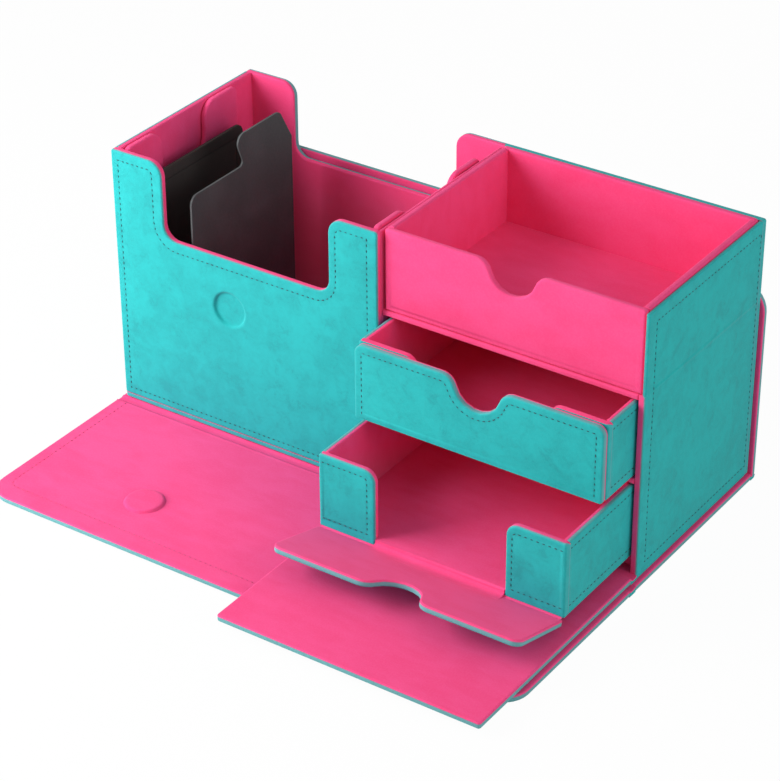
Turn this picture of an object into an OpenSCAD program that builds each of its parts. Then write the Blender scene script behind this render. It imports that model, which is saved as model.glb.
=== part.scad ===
// Card box: a soft-lined case with a deck bay, two drawers, a tray, a door and a loose folding cover.
// Millimetres, +Z up, +Y to the back. The origin is on the table, under the middle of the case.

/* [Case] */
// Outer width of the case, left to right
case_w = 238; // [225:1:270]
// Outer depth of the case, front to back
case_d = 90; // [88:1:110]
// Height from the case's underside to the top of its walls
case_h = 111.8; // [108:0.2:130]
// Thickness of the stiff wrapped board of the case walls
board_t = 2.2; // [1.6:0.1:3]
// Thickness of the stiff board under the case
base_t = 2; // [1.6:0.1:3]
// Thickness of the soft lining bonded to every board
lining_t = 0.8; // [0.5:0.1:1.2]
// Radius of the upright outer edges
edge_r = 1.2; // [0.6:0.1:1.5]

/* [Deck bay] */
// Width from the case's left side to the right end of the short front wall
bay_w = 125.2; // [115:0.2:130]
// Width of the high part left of the wall cut-outs
horn_w = 24.4; // [15:0.2:30]
// Width of the high part right of the wall cut-outs
tab_w = 22.1; // [15:0.1:28]
// Height of the walls at the cut-outs, from the case's underside
valley_h = 79.3; // [50:0.1:90]
// Radius of all corners of the cut-outs
cut_r = 6.2; // [3:0.1:8]
// Thickness of the partition between the deck bay and the cabinet
partition_t = 1.8; // [1.4:0.1:4]
// How far the front wall reaches across the partition's front edge
front_lap = 1.8; // [0.5:0.1:2.4]
// How far the partition's top lies below the wall tops
partition_drop = 0.8; // [0.3:0.1:3]

/* [Cabinet] */
// Height of the block under the lower drawer, above the deck bay's floor
plinth_h = 4.8; // [3:0.1:6]
// Thickness of the two shelves
shelf_t = 2.4; // [1.6:0.1:3]
// Gap under each drawer and under the tray
seat_gap = 0.3; // [0.3:0.05:0.6]
// Gap over each drawer
run_gap = 0.9; // [0.5:0.1:1.2]
// How far a closed drawer's flap lies behind the cabinet's front edges
flap_in = 0.6; // [0.3:0.1:2]
// Gap right of each drawer
side_gap = 0.9; // [0.4:0.1:1.2]
// Gap left of each drawer, next to the partition
rest_gap = 2.3; // [0.4:0.1:2.6]

/* [Drawers] */
// Height of a drawer
drawer_h = 31.8; // [28:0.1:32.5]
// Length of a drawer body
drawer_l = 79.4; // [60:0.1:80]
// Thickness of a drawer's boards
drawer_t = 2; // [1.5:0.1:2.6]
// Width of the two tabs at a drawer's front
drawer_tab_w = 25; // [15:0.5:30]
// Corner radius of the front tabs
drawer_tab_r = 5; // [2:0.5:7]
// Height of the fold-down front flap
flap_h = 31; // [24:0.1:31.3]
// Corner radius of the fold-down front flap
flap_r = 4; // [2:0.5:6]
// Gap between a flap and the tabs behind it
flap_gap = 0.3; // [0.2:0.05:0.5]
// How far the upper drawer is pulled out
upper_out = 22.3; // [0:0.1:60]
// How far the lower drawer is pulled out
lower_out = 48.9; // [0:0.1:60]
// How far the lower drawer's flap is folded down, in degrees
lower_open = 74; // [0:1:90]

/* [Finger notches] */
// Radius of the bottom of the notches in the flaps and the tray
notch_r = 10; // [6:0.5:12]
// Radius of their shoulders
notch_shoulder_r = 6; // [3:0.5:8]
// Depth of these notches
notch_depth = 11.6; // [9:0.1:14]
// Radius of the bottom of the thumb cut-outs in the spacers
thumb_r = 14; // [8:0.5:16]
// Radius of the shoulders of the thumb cut-outs
thumb_shoulder_r = 7; // [4:0.5:9]
// Depth of the thumb cut-outs
thumb_depth = 26; // [22:0.5:45]

/* [Tray] */
// Thickness of the tray's boards
tray_t = 2.6; // [1.8:0.1:3]
// How far the tray stands above the wall tops
tray_proud = 1; // [0:0.1:3]
// Gap round the tray at its right and back
tray_gap = 0.4; // [0.3:0.05:0.8]
// Gap left of the tray, next to the partition
tray_rest_gap = 1.2; // [0.4:0.1:2]
// Thickness of the right wall beside the tray, where it has no lining
tray_wall_t = 1.3; // [1:0.1:1.6]
// How far the tray's front lies behind the cabinet's front edges
tray_in = 0.2; // [0:0.1:1]

/* [Door] */
// Thickness of the door's stiff board
door_t = 2; // [1.6:0.1:2.6]
// Length of the door from its fold to its free edge
door_l = 102.5; // [80:0.5:105]
// Gap between the closed door and what it closes against
door_gap = 0.3; // [0.3:0.05:0.6]

/* [Cover] */
// Thickness of the cover's stiff boards
cover_t = 2; // [1.6:0.1:3]
// How far the cover reaches past the case on each side
cover_over = 1.5; // [0:0.1:4]
// Gap between a standing flap and the case
cover_gap = 0.4; // [0.3:0.05:0.8]
// Length of the front flap
front_flap_l = 80.5; // [60:0.5:100]
// Length of the back flap
back_flap_l = 84; // [60:0.5:100]
// Corner radius of the cover's flaps
cover_r = 10.5; // [3:0.5:14]
// Thickness of the flexible strips at the folds
skin_t = 0.6; // [0.4:0.05:0.8]
// Gap between a folding board and its fold line
fold_gap = 0.9; // [0.9:0.1:2]

/* [Magnets] */
// Radius of the round magnets
magnet_r = 7; // [4:0.25:8]
// Thickness of the round magnets
magnet_t = 1; // [0.8:0.1:1.2]
// Distance from the case's left side to the magnets' centres
magnet_x = 55.3; // [40:0.1:90]
// Height of the wall magnet above the case's underside
magnet_z = 57.4; // [20:0.1:65]
// How much lower than the wall magnet the flap magnet comes to lie when the flap is up
magnet_drop = 3.5; // [0:0.5:5]
// Width of the soft rim round the flap magnet
button_rim = 0.6; // [0.4:0.1:1]
// How far the flap magnet's lining stands above the flap
button_rise = 0.3; // [0.1:0.1:0.6]
// How much wider than the magnet the dimple in the front wall is
dimple_rim = 0.3; // [0.1:0.1:0.6]
// Depth of the round dimple in the front wall
dimple_depth = 0.8; // [0.2:0.1:0.9]

/* [Deck furniture] */
// Length of a spacer, front to back
spacer_l = 70.4; // [60:0.2:80]
// Thickness of a spacer
spacer_t = 2.5; // [1.6:0.1:3.5]
// Radius of a spacer's upper corners
spacer_r = 3; // [1:0.5:5]
// Gap between a loose board and what it stands against
loose_gap = 0.3; // [0.3:0.05:0.6]
// Width of a divider
divider_w = 66; // [60:0.5:70]
// Height of the plain divider
plain_divider_h = 95.5; // [80:0.5:98]
// Thickness of the plain divider
plain_divider_t = 1.6; // [1:0.1:2.4]
// Distance from the case's left side to the plain divider
plain_divider_x = 10; // [7:0.5:16]
// Height of the tabbed divider below its tab
tab_divider_h = 94; // [80:0.5:95]
// Thickness of the tabbed divider
tab_divider_t = 1; // [0.8:0.1:2]
// Distance from the case's left side to the tabbed divider
tab_divider_x = 32.4; // [20:0.1:60]
// Distance from the front lining to the tabbed divider
tab_divider_y = 4; // [0.3:0.1:8]
// Height of the tab on the tabbed divider
tab_rise = 13.8; // [8:0.1:14]
// Width of the tab at its foot
tab_foot_w = 31.7; // [26:0.1:36]
// How far the tab's front edge leans forward
tab_lean = 5.5; // [3:0.1:8]
// How far the tab's rear edge leans forward
tab_rear_lean = 7.7; // [3:0.1:10]
// Corner radius of the dividers
divider_r = 4; // [2:0.5:5]

/* [Hidden] */
$fn = 64;

wall_t = board_t + lining_t;
cover_top = cover_t + lining_t;
case_z = cover_top + loose_gap;
case_top = case_z + case_h;
base_top = case_z + base_t;
floor_top = base_top + lining_t;
door_thick = door_t + lining_t;
// The cabinet's front edges stand back so that the closed door lies flush with the front wall
set_back = door_thick + door_gap;

// Left and front sides of the case in model coordinates
x0 = -case_w / 2;
y0 = -case_d / 2;
x1 = case_w / 2;
y1 = case_d / 2;
bay_x = x0 + bay_w;
part_x = bay_x - front_lap;
cab_x0 = part_x + partition_t;
cab_x1 = x1 - wall_t;
cab_y0 = y0 + set_back;
in_y0 = y0 + wall_t;
in_y1 = y1 - wall_t;
in_x0 = x0 + wall_t;

// Heights of the undersides of the drawers and the tray
flap_thick = drawer_t + lining_t;
drawer_in = flap_in + flap_thick + flap_gap;
plinth_top = floor_top + plinth_h;
lower_z = plinth_top + seat_gap;
shelf1_z = lower_z + drawer_h + run_gap;
upper_z = shelf1_z + shelf_t + seat_gap;
shelf2_z = upper_z + drawer_h + run_gap;
tray_z = shelf2_z + shelf_t + seat_gap;
tray_h = case_top + tray_proud - tray_z;
shelf2_top = shelf2_z + shelf_t;
drawer_x0 = cab_x0 + rest_gap;
drawer_w = cab_x1 - cab_x0 - rest_gap - side_gap;
drawer_y0 = cab_y0 + drawer_in;
tray_x0 = cab_x0 + tray_rest_gap;
tray_w = x1 - tray_wall_t - tray_gap - tray_x0;
tray_y0 = cab_y0 + tray_in;
tray_l = in_y1 - tray_gap - tray_y0;

// Colours as the photograph shows them
teal = [0.15, 0.68, 0.68];
pink = [0.94, 0.27, 0.50];

// A bar from one corner to the opposite one
module bar(a, b) {
    translate(a)
        cube(b - a);
}

// What rounding takes off a square corner that points to +X +Y
module corner_cut(r) {
    translate([-r, -r])
        difference() {
            square(r + 1);
            circle(r);
        }
}

// A rectangle with its own radius at each corner: low left, low right, top right, top left
module card(w, h, r) {
    difference() {
        square([w, h]);
        if (r[0] > 0)
            mirror([1, 0]) mirror([0, 1]) corner_cut(r[0]);
        if (r[1] > 0)
            translate([w, 0]) mirror([0, 1]) corner_cut(r[1]);
        if (r[2] > 0)
            translate([w, h]) corner_cut(r[2]);
        if (r[3] > 0)
            translate([0, h]) mirror([1, 0]) corner_cut(r[3]);
    }
}

// A notch sunk from y = 0 round x = 0: a round bottom that runs smoothly into round shoulders
module notch(r, s, depth) {
    dy = r + s - depth;
    xs = sqrt((r + s) * (r + s) - dy * dy);
    tx = r * xs / (r + s);
    ty = r - depth - r * dy / (r + s);
    translate([0, r - depth])
        circle(r);
    difference() {
        polygon([[-xs, 1], [-xs, -s], [-tx, ty], [tx, ty], [xs, -s], [xs, 1]]);
        for (side = [-1, 1])
            translate([side * xs, -s])
                circle(s);
    }
}

// The cut-out in a wall: from x = a to x = b, down to y = low, in a wall whose top is at y = top
module wall_cut(a, b, low, top) {
    translate([a, low])
        card(b - a, top - low + 1, [cut_r, cut_r, 0, 0]);
    translate([b, top])
        mirror([1, 0]) flare();
    translate([a, top])
        flare();
}

// The round shoulder at the top of a cut-out
module flare() {
    difference() {
        translate([-cut_r, -cut_r])
            square([cut_r + 0.5, cut_r + 1]);
        translate([-cut_r, -cut_r])
            circle(cut_r);
    }
}

// Stands a flat outline up: its x runs along X, its y along Z, and its thickness grows towards +Y
module stand_x(y, t) {
    translate([0, y + t, 0])
        rotate([90, 0, 0])
            linear_extrude(t)
                children();
}

// Stands a flat outline up: its x runs along Y, its y along Z, and its thickness grows towards +X
module stand_y(x, t) {
    translate([x, 0, 0])
        rotate([90, 0, 90])
            linear_extrude(t)
                children();
}

// ---- Cover ----
cov_x0 = x0 - cover_over;
cov_w = case_w + 2 * cover_over;
// Fold lines of the cover, at its outer skin
front_axis_y = y0 - cover_top - cover_gap;
back_axis_y = y1 + cover_top + cover_gap;
button_y = y0 - (case_z + magnet_z - magnet_drop);
button_r = magnet_r + button_rim;

module cover_panel() {
    color(teal)
        bar([cov_x0, y0, 0], [cov_x0 + cov_w, y1, cover_t]);
}

module cover_panel_lining() {
    color(pink)
        bar([cov_x0, y0, cover_t], [cov_x0 + cov_w, y1, cover_top]);
}

module cover_front_fold() {
    color(teal)
        bar([cov_x0, front_axis_y, 0], [cov_x0 + cov_w, y0, skin_t]);
}

module cover_back_fold() {
    color(teal)
        bar([cov_x0, y1, 0], [cov_x0 + cov_w, back_axis_y, skin_t]);
}

// Plan of the front flap
module front_plan() {
    translate([cov_x0, front_axis_y - fold_gap - front_flap_l])
        card(cov_w, front_flap_l, [cover_r, cover_r, 0, 0]);
}

module cover_front_board() {
    color(teal)
        difference() {
            linear_extrude(cover_t) front_plan();
            translate([x0 + magnet_x, button_y, cover_t - magnet_t])
                cylinder(r = button_r, h = magnet_t + 1);
        }
}

module cover_front_lining() {
    color(pink)
        difference() {
            translate([0, 0, cover_t])
                linear_extrude(lining_t) front_plan();
            translate([x0 + magnet_x, button_y, 0])
                cylinder(r = button_r, h = cover_top + 1);
        }
}

// The lined magnet in the front flap; it stands a little above the lining
module cover_button() {
    color(pink)
        translate([x0 + magnet_x, button_y, cover_t - magnet_t])
            cylinder(r = button_r, h = magnet_t + lining_t + button_rise);
}

module cover_back_board() {
    color(teal)
        stand_x(back_axis_y - cover_t, cover_t)
            translate([cov_x0, fold_gap])
                card(cov_w, back_flap_l, [0, 0, cover_r, cover_r]);
}

module cover_back_lining() {
    color(pink)
        stand_x(back_axis_y - cover_top, lining_t)
            translate([cov_x0, fold_gap])
                card(cov_w, back_flap_l, [0, 0, cover_r, cover_r]);
}

// ---- Case ----
module case_base() {
    color(teal)
        difference() {
            bar([x0, y0, case_z], [x1, y1, base_top]);
            bar([bay_x, y0 - 1, case_z - 1], [x1 + 1, cab_y0, base_top + 1]);
        }
}

module case_left() {
    color(teal)
        translate([x0, y0, base_top])
            linear_extrude(case_top - base_top)
                card(board_t, case_d, [edge_r, 0, 0, edge_r]);
}

// The right wall is thinner beside the tray, which reaches over the lining below it
module case_right() {
    color(teal)
        difference() {
            translate([x1 - board_t, cab_y0, base_top])
                linear_extrude(case_top - base_top)
                    card(board_t, y1 - cab_y0, [0, edge_r, edge_r, 0]);
            bar([x1 - board_t - 1, cab_y0 - 1, shelf2_top], [x1 - tray_wall_t, in_y1, case_top + 1]);
        }
}

// Outline of a bay wall from x = a to x = b with the cut-out taken away
module bay_wall(a, b, low) {
    difference() {
        translate([a, low])
            square([b - a, case_top - low]);
        wall_cut(x0 + horn_w, bay_x - tab_w, case_z + valley_h, case_top);
    }
}

module case_front() {
    color(teal)
        difference() {
            stand_x(y0, board_t)
                bay_wall(x0 + board_t, bay_x, base_top);
            translate([x0 + magnet_x, y0 - 1, case_z + magnet_z])
                rotate([-90, 0, 0])
                    cylinder(r = magnet_r + dimple_rim, h = 1 + dimple_depth);
            translate([x0 + magnet_x, y0 + board_t - magnet_t, case_z + magnet_z])
                rotate([-90, 0, 0])
                    cylinder(r = magnet_r, h = magnet_t + 1);
        }
}

module case_back() {
    color(teal)
        stand_x(y1 - board_t, board_t)
            bay_wall(x0 + board_t, x1 - board_t, base_top);
}

module case_magnet() {
    color([0.5, 0.5, 0.52])
        translate([x0 + magnet_x, y0 + board_t - magnet_t, case_z + magnet_z])
            rotate([-90, 0, 0])
                cylinder(r = magnet_r, h = magnet_t);
}

module lining_floor() {
    color(pink)
        bar([x0 + board_t, y0 + board_t, base_top], [part_x, y1 - board_t, floor_top]);
}

module lining_left() {
    color(pink)
        bar([x0 + board_t, in_y0, floor_top], [in_x0, in_y1, case_top]);
}

module lining_front() {
    color(pink)
        stand_x(y0 + board_t, lining_t)
            bay_wall(x0 + board_t, part_x, floor_top);
}

module lining_back() {
    color(pink)
        stand_x(in_y1, lining_t)
            bay_wall(x0 + board_t, part_x, floor_top);
}

module lining_right() {
    color(pink)
        bar([cab_x1, cab_y0, base_top], [x1 - board_t, y1 - board_t, shelf2_top]);
}

module lining_cabinet_back() {
    color(pink)
        bar([cab_x0, in_y1, base_top], [cab_x1, y1 - board_t, case_top]);
}

module partition() {
    color(pink)
        bar([part_x, cab_y0, base_top], [cab_x0, y1 - board_t, case_top - partition_drop]);
}

// The block under the lower drawer; it stands back to leave room for the open flap
module plinth() {
    color(pink)
        bar([cab_x0, drawer_y0 + flap_gap, base_top], [cab_x1, in_y1, plinth_top]);
}

module shelf(z) {
    color(pink)
        bar([cab_x0, cab_y0, z], [cab_x1, in_y1, z + shelf_t]);
}

module shelf_lower() {
    shelf(shelf1_z);
}

module shelf_upper() {
    shelf(shelf2_z);
}

// ---- Door, laid open on the cover's front flap ----
door_x0 = bay_x + door_gap;
door_axis_y = y0;
module door_fold() {
    color(teal)
        bar([door_x0, door_axis_y, case_z], [x1, cab_y0, case_z + skin_t]);
}

module door_board() {
    color(teal)
        bar([door_x0, door_axis_y - fold_gap - door_l, case_z],
            [x1, door_axis_y - fold_gap, case_z + door_t]);
}

module door_lining() {
    color(pink)
        bar([door_x0, door_axis_y - fold_gap - door_l, case_z + door_t],
            [x1, door_axis_y - fold_gap, case_z + door_thick]);
}

// ---- Tray ----
module tray_floor() {
    color(pink)
        bar([tray_x0, tray_y0, tray_z], [tray_x0 + tray_w, tray_y0 + tray_l, tray_z + tray_t]);
}

module tray_front() {
    color(pink)
        stand_x(tray_y0, tray_t)
            difference() {
                translate([tray_x0, tray_z + tray_t])
                    square([tray_w, tray_h - tray_t]);
                translate([tray_x0 + tray_w / 2, tray_z + tray_h])
                    notch(notch_r, notch_shoulder_r, notch_depth);
            }
}

module tray_back() {
    color(pink)
        bar([tray_x0, tray_y0 + tray_l - tray_t, tray_z + tray_t],
            [tray_x0 + tray_w, tray_y0 + tray_l, tray_z + tray_h]);
}

module tray_sides() {
    color(pink)
        for (x = [tray_x0, tray_x0 + tray_w - tray_t])
            bar([x, tray_y0 + tray_t, tray_z + tray_t],
                [x + tray_t, tray_y0 + tray_l - tray_t, tray_z + tray_h]);
}

// ---- Drawers: z is the underside, out is how far the drawer is pulled ----
module drawer_floor(z, out) {
    color(teal)
        translate([drawer_x0, drawer_y0 - out, z])
            cube([drawer_w, drawer_l, drawer_t]);
}

module drawer_sides(z, out) {
    color(teal)
        for (x = [drawer_x0, drawer_x0 + drawer_w - drawer_t])
            translate([x, drawer_y0 - out + drawer_t, z + drawer_t])
                cube([drawer_t, drawer_l - 2 * drawer_t, drawer_h - drawer_t]);
}

module drawer_back(z, out) {
    color(teal)
        translate([drawer_x0, drawer_y0 - out + drawer_l - drawer_t, z + drawer_t])
            cube([drawer_w, drawer_t, drawer_h - drawer_t]);
}

module drawer_tabs(z, out) {
    color(teal)
        stand_x(drawer_y0 - out, drawer_t) {
            translate([drawer_x0, z + drawer_t])
                card(drawer_tab_w, drawer_h - drawer_t, [0, 0, drawer_tab_r, 0]);
            translate([drawer_x0 + drawer_w - drawer_tab_w, z + drawer_t])
                card(drawer_tab_w, drawer_h - drawer_t, [0, 0, 0, drawer_tab_r]);
        }
}

// Soft lining of a drawer: floor, sides, back and the insides of the tabs
module drawer_lining(z, out) {
    zf = z + drawer_t;
    zl = zf + lining_t;
    ya = drawer_y0 - out + drawer_t;
    yb = drawer_y0 - out + drawer_l - drawer_t;
    xa = drawer_x0 + drawer_t;
    xb = drawer_x0 + drawer_w - drawer_t;
    zt = z + drawer_h;
    color(pink) {
        bar([xa, ya, zf], [xb, yb, zl]);
        bar([xa, ya, zl], [xa + lining_t, yb, zt]);
        bar([xb - lining_t, ya, zl], [xb, yb, zt]);
        bar([xa + lining_t, yb - lining_t, zl], [xb - lining_t, yb, zt]);
        stand_x(ya, lining_t) {
            translate([xa + lining_t, zl])
                card(drawer_tab_w - drawer_t - lining_t, zt - zl, [0, 0, drawer_tab_r, 0]);
            translate([xb - lining_t - (drawer_tab_w - drawer_t - lining_t), zl])
                card(drawer_tab_w - drawer_t - lining_t, zt - zl, [0, 0, 0, drawer_tab_r]);
        }
    }
}

// Outline of a flap above its fold line
module flap_plan() {
    difference() {
        translate([drawer_x0, flap_gap])
            card(drawer_w, flap_h, [0, 0, flap_r, flap_r]);
        translate([drawer_x0 + drawer_w / 2, flap_gap + flap_h])
            notch(notch_r, notch_shoulder_r, notch_depth);
    }
}

// A flap's board or its lining, folded down by angle open
module drawer_flap(z, out, open, from, thick) {
    translate([0, drawer_y0 - out - flap_gap, z])
        rotate([open, 0, 0])
            stand_x(from, thick)
                flap_plan();
}

module upper_floor() {
    drawer_floor(upper_z, upper_out);
}

module upper_sides() {
    drawer_sides(upper_z, upper_out);
}

module upper_back() {
    drawer_back(upper_z, upper_out);
}

module upper_tabs() {
    drawer_tabs(upper_z, upper_out);
}

module upper_lining() {
    drawer_lining(upper_z, upper_out);
}

module upper_flap() {
    color(teal)
        drawer_flap(upper_z, upper_out, 0, -flap_thick, drawer_t);
}

module upper_flap_lining() {
    color(pink)
        drawer_flap(upper_z, upper_out, 0, -lining_t, lining_t);
}

module lower_floor() {
    drawer_floor(lower_z, lower_out);
}

module lower_sides() {
    drawer_sides(lower_z, lower_out);
}

module lower_back() {
    drawer_back(lower_z, lower_out);
}

module lower_tabs() {
    drawer_tabs(lower_z, lower_out);
}

module lower_lining() {
    drawer_lining(lower_z, lower_out);
}

module lower_flap() {
    color(teal)
        drawer_flap(lower_z, lower_out, lower_open, -flap_thick, drawer_t);
}

module lower_flap_lining() {
    color(pink)
        drawer_flap(lower_z, lower_out, lower_open, -lining_t, lining_t);
}

// ---- Loose boards in the deck bay ----
loose_z = floor_top + loose_gap;
loose_y = in_y0 + loose_gap;

module spacer(x) {
    color(pink)
        stand_y(x, spacer_t)
            difference() {
                translate([loose_y, loose_z])
                    card(spacer_l, case_top - loose_z, [0, 0, spacer_r, spacer_r]);
                translate([loose_y + spacer_l / 2, case_top])
                    notch(thumb_r, thumb_shoulder_r, thumb_depth);
            }
}

module spacer_left() {
    spacer(in_x0 + loose_gap);
}

module spacer_right() {
    spacer(part_x - loose_gap - spacer_t);
}

module divider_plain() {
    color([0.16, 0.15, 0.16])
        stand_y(x0 + plain_divider_x, plain_divider_t)
            translate([loose_y, loose_z])
                card(divider_w, plain_divider_h, [1, 1, divider_r, divider_r]);
}

// What rounding takes off a corner at [0, 0] between a level edge to the right and a leaning edge.
// The round stays a hair inside both edges, so that nothing thin is left where they meet.
module lean_cut(r, lean, rise) {
    run = sqrt(lean * lean + rise * rise);
    c = lean / run;
    s = rise / run;
    t = r * (1 + c) / s;
    out = r + 0.5;
    difference() {
        polygon([[t, -r], [t, 0.5], [-1.5, 0.5], [t - s * out, -r - c * out]]);
        translate([t, -r])
            circle(r - 0.02);
    }
}

// The tab leans towards the front; its two upper corners are round
module divider_tab() {
    ta = divider_w - tab_foot_w;
    h = tab_divider_h;
    top = h + tab_rise;
    color([0.28, 0.27, 0.27])
        stand_y(x0 + tab_divider_x, tab_divider_t)
            translate([in_y0 + tab_divider_y, loose_z])
                difference() {
                    polygon([[0, 0], [divider_w, 0], [divider_w, h], [divider_w - tab_rear_lean, top],
                        [ta - tab_lean, top], [ta, h], [0, h]]);
                    translate([0, h])
                        mirror([1, 0]) corner_cut(divider_r);
                    translate([ta - tab_lean, top])
                        lean_cut(divider_r, tab_lean, tab_rise);
                    translate([divider_w - tab_rear_lean, top])
                        mirror([1, 0]) lean_cut(divider_r, -tab_rear_lean, tab_rise);
                }
}

cover_panel();
cover_panel_lining();
cover_front_fold();
cover_back_fold();
cover_front_board();
cover_front_lining();
cover_button();
cover_back_board();
cover_back_lining();
case_base();
case_left();
case_right();
case_front();
case_back();
case_magnet();
lining_floor();
lining_left();
lining_front();
lining_back();
lining_right();
lining_cabinet_back();
partition();
plinth();
shelf_lower();
shelf_upper();
door_fold();
door_board();
door_lining();
tray_floor();
tray_front();
tray_back();
tray_sides();
upper_floor();
upper_sides();
upper_back();
upper_tabs();
upper_lining();
upper_flap();
upper_flap_lining();
lower_floor();
lower_sides();
lower_back();
lower_tabs();
lower_lining();
lower_flap();
lower_flap_lining();
spacer_left();
spacer_right();
divider_plain();
divider_tab();
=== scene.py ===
"""Looks of the card box: wrapped and stitched boards and soft folds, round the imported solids."""

import math

import bpy
import bmesh
from mathutils import Matrix, Vector
from mathutils.geometry import tessellate_polygon


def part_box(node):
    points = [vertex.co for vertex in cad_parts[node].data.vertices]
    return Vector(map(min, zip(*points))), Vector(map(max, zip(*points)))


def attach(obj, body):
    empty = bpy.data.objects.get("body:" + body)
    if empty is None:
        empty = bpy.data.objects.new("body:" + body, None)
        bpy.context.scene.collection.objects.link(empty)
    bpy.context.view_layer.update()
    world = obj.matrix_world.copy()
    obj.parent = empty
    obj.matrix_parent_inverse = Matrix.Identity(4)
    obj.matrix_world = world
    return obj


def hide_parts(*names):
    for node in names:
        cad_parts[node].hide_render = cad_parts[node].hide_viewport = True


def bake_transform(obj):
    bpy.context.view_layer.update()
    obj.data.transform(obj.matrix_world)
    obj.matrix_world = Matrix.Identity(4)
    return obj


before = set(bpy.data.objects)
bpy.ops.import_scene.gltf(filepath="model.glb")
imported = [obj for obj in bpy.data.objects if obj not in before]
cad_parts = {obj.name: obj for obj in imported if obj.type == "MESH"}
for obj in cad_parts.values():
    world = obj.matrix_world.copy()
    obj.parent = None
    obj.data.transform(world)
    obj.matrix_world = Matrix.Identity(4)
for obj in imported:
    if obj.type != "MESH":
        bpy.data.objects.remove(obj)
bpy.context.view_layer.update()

MM = 0.001

# Steps round a corner, a quarter of a rim and a whole circle, and the angle that stays crisp
ARC_STEPS = 7
QUARTER = [math.radians(90 * k / 4) for k in range(5)]
ROUND_STEPS = 64
CRISP_ANGLE = math.radians(48)

# Stitches, in millimetres, with how far they tilt in radians and how their length varies
STITCH_PITCH = 2.4
STITCH_LENGTH = 1.25
THREAD = 0.5
PINK_THREAD_SHARE = 0.8
STITCH_TILT = 0.07
STITCH_SHORTEST, STITCH_LONGEST = 0.9, 1.1
SEAM_DEPTH = 0.07
PRESSED_DEPTH = 0.2

# How far the covering reaches over a board's edge from its outer face, in millimetres
CASE_WRAP = 0.85
BAY_WRAP = 1.1
HORN_WRAP = 2.3
DRAWER_WRAP = 1.45
FLAP_WRAP = 1.9
COVER_WRAP = 2.1
THROUGH = 99.0
LINED = -1.0
LINED_LIP = 0.12

# The crease where the covering ends: half its width, its depth, and the rows beside it on the
# covering's and on the lining's side, in millimetres
CREASE_HALF = 0.14
CREASE_DIP = 0.1
CREASE_BEFORE = 0.32
CREASE_AFTER = 0.34

# How far inside its rounding an edge's first and last row lie, and which row is the crease
FACE_ROW = 0.45
BACK_ROW = 0.4
CREASE_ROW = 8

# Rows of points across a seam, outside and inside: how far from its line, their share of its depth
# The shares also set the seam mark: painted shade along the seam's sunk groove
SEAM_ROWS = ((0.8, 0.0), (0.35, 0.4), (0.0, 1.0), (-0.35, 0.4))
INNER_SEAM_ROWS = ((-0.6, 0.0), (0.0, 0.6), (0.6, 0.0))
SEAM_HALF = 0.8
RIM_MARGIN = 0.6

# How far inside an edge without a seam those rows run, by its wrap, and for any other wrap
UNSEWN_ROW = {0: 0.9, THROUGH: 1.9}
OTHER_UNSEWN_ROW = 2.6

# How much wear and painted sheen and shade a rim takes: none where its edge butts, a little where
# the covering runs on, else fully
RIM_WEAR_AND_LIGHT = {0: 0.0, THROUGH: 0.15}

# The marks that a piece's mesh carries, and the record's slots of the two main finishes
# The rim mark carries wear with painted sheen and shade; the seam mark carries painted shade in
# sunk grooves, on the dimple's wall and round the button's foot
MARKS = ("rim", "seam", "crease")
TEAL = "teal_leatherette"
PINK = "pink_microfibre"


def span(node):
    """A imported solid's low and high corner, in millimetres."""
    low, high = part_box(node)
    return [v / MM for v in low], [v / MM for v in high]


def centre(node):
    """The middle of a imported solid."""
    return [(low + high) / 2 for low, high in zip(*span(node))]


def added(name, data):
    """A new object of the scene, with its mesh, light or camera."""
    made = bpy.data.objects.new(name, data)
    bpy.context.scene.collection.objects.link(made)
    return made


def linear(text):
    """A colour written as a web hex value, in linear light."""
    parts = [int(text[i : i + 2], 16) / 255 for i in (0, 2, 4)]
    return (*(p / 12.92 if p <= 0.04045 else ((p + 0.055) / 1.055) ** 2.4 for p in parts), 1.0)


# -------- finishes


class Amount:
    """A socket that gives a number or colour, so that its maths reads as plain expressions."""

    def __init__(self, nodes, socket):
        self.nodes = nodes
        self.socket = socket

    def _math(self, operation, first, second):
        return self.nodes.node("ShaderNodeMath", {"operation": operation}, [first, second])

    def beside(self, output):
        """Another output of the node that this one comes from."""
        return Amount(self.nodes, self.socket.node.outputs[output])

    def __add__(self, other):
        return self._math("ADD", self, other)

    __radd__ = __add__

    def __mul__(self, other):
        return self._math("MULTIPLY", self, other)

    __rmul__ = __mul__


class Nodes:
    """A node tree and the one way that nodes are added to it."""

    def __init__(self, tree):
        self.tree = tree

    def node(self, kind, settings=None, inputs=(), output=0):
        """A node with its settings made first, then the values or links of its sockets."""
        made = self.tree.nodes.new(kind)
        for key, value in (settings or {}).items():
            setattr(made, key, value)
        pairs = inputs.items() if isinstance(inputs, dict) else enumerate(inputs)
        for key, value in pairs:
            if isinstance(value, Amount):
                self.tree.links.new(value.socket, made.inputs[key])
            else:
                made.inputs[key].default_value = value
        return Amount(self, made.outputs[output]) if made.outputs else None

    def backdrop_rays(self):
        """1 for the rays that show the backdrop: the camera's, and those in gloss and in glass."""
        rays = ("Is Camera Ray", "Is Glossy Ray", "Is Transmission Ray")
        camera, gloss, glass = (self.node("ShaderNodeLightPath", output=ray) for ray in rays)
        return camera + gloss + glass

    def white(self, kind, strength):
        """A white glow, of a surface or of the sky."""
        return self.node(kind, {}, {"Color": (1, 1, 1, 1), "Strength": strength})

    def show(self, output, share, first, second):
        """Ends the tree in a mix of two shaders."""
        mixed = self.node("ShaderNodeMixShader", {}, {0: share, 1: first, 2: second})
        self.tree.links.new(mixed.socket, self.tree.nodes[output].inputs["Surface"])


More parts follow.
